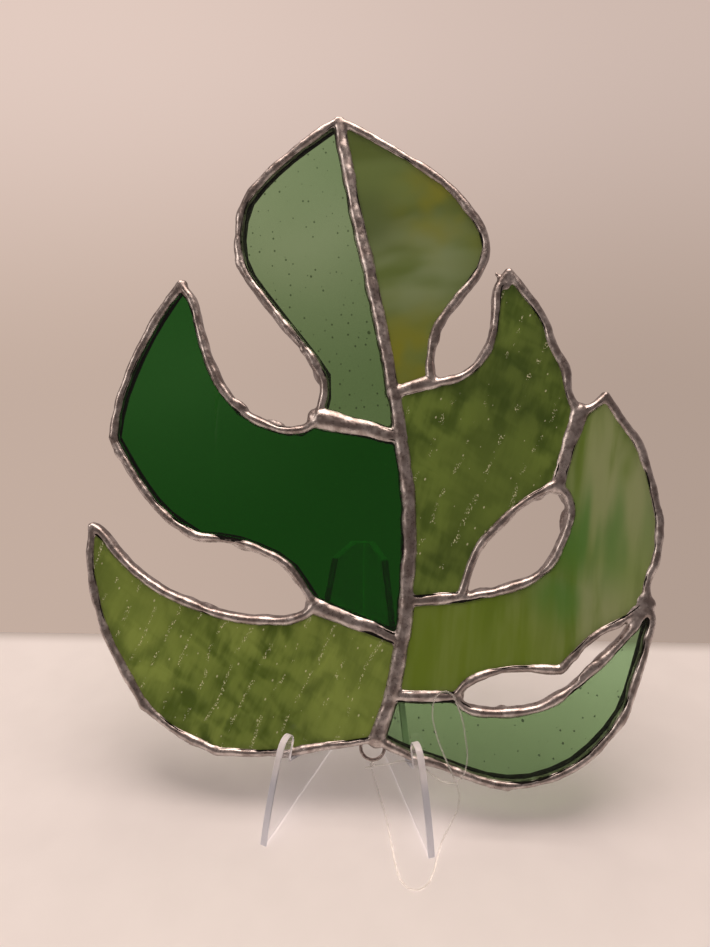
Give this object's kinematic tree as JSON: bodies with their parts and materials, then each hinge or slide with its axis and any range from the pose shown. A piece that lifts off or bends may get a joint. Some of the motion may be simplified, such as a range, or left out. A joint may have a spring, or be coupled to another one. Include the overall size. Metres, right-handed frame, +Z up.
{
  "type": "stained glass leaf panel on an easel",
  "caption": "Leaf-shaped stained glass panel with foiled panes, solder seams, a jump ring and a nylon hanging line, resting tip up on a folded clear acrylic easel.",
  "frame": {"origin": "middle of the bottom of the whole object, on the surface the easel stands on", "axes": "+Z up, +X to the right seen from the front, +Y to the back, the leaf's front facing -Y and leaning back"},
  "size_m": [0.187, 0.122, 0.2129],
  "materials": {
    "glass_tip_left": "clear pale sage seedy glass",
    "glass_tip_right": "wispy olive and amber opalescent glass",
    "glass_upper_left": "deep green cathedral glass",
    "glass_lower_left": "olive rippled glass with lines of fine bubbles",
    "glass_upper_right": "mottled olive rippled glass",
    "glass_middle_right": "streaky green and cream opalescent glass",
    "glass_lower_right": "clear pale sea green seedy glass",
    "copper_foil": "dark patinated copper foil",
    "solder": "lumpy bright tin and lead solder with darker patina in its hollows",
    "ring": "tinned copper wire",
    "acrylic": "clear acrylic sheet with greyish cut edges",
    "nylon": "clear nylon monofilament"
  },
  "bodies": {
    "root": {"glass_tip_left": "glass_tip_left", "glass_tip_right": "glass_tip_right", "glass_upper_left": "glass_upper_left", "glass_lower_left": "glass_lower_left", "glass_upper_right": "glass_upper_right", "glass_middle_right": "glass_middle_right", "glass_lower_right": "glass_lower_right", "foil_tip_left": "copper_foil", "foil_tip_right": "copper_foil", "foil_upper_left": "copper_foil", "foil_lower_left": "copper_foil", "foil_upper_right": "copper_foil", "foil_middle_right": "copper_foil", "foil_lower_right": "copper_foil", "solder_spine": "solder", "solder_vein_upper_left": "solder", "solder_vein_lower_left": "solder", "solder_vein_upper_right": "solder", "solder_vein_middle_right": "solder", "solder_vein_lower_right": "solder", "solder_seam_right": "solder", "solder_edge_tip_left": "solder", "solder_edge_tip_right": "solder", "solder_edge_upper_left": "solder", "solder_edge_lower_left": "solder", "solder_edge_upper_right": "solder", "solder_edge_eye_upper": "solder", "solder_edge_middle_right": "solder", "solder_edge_eye_lower": "solder", "solder_edge_lower_right": "solder", "hanging_ring": "ring", "easel": "acrylic", "hanging_line": "nylon", "line_knot": "nylon"}
  },
  "joints": []
}
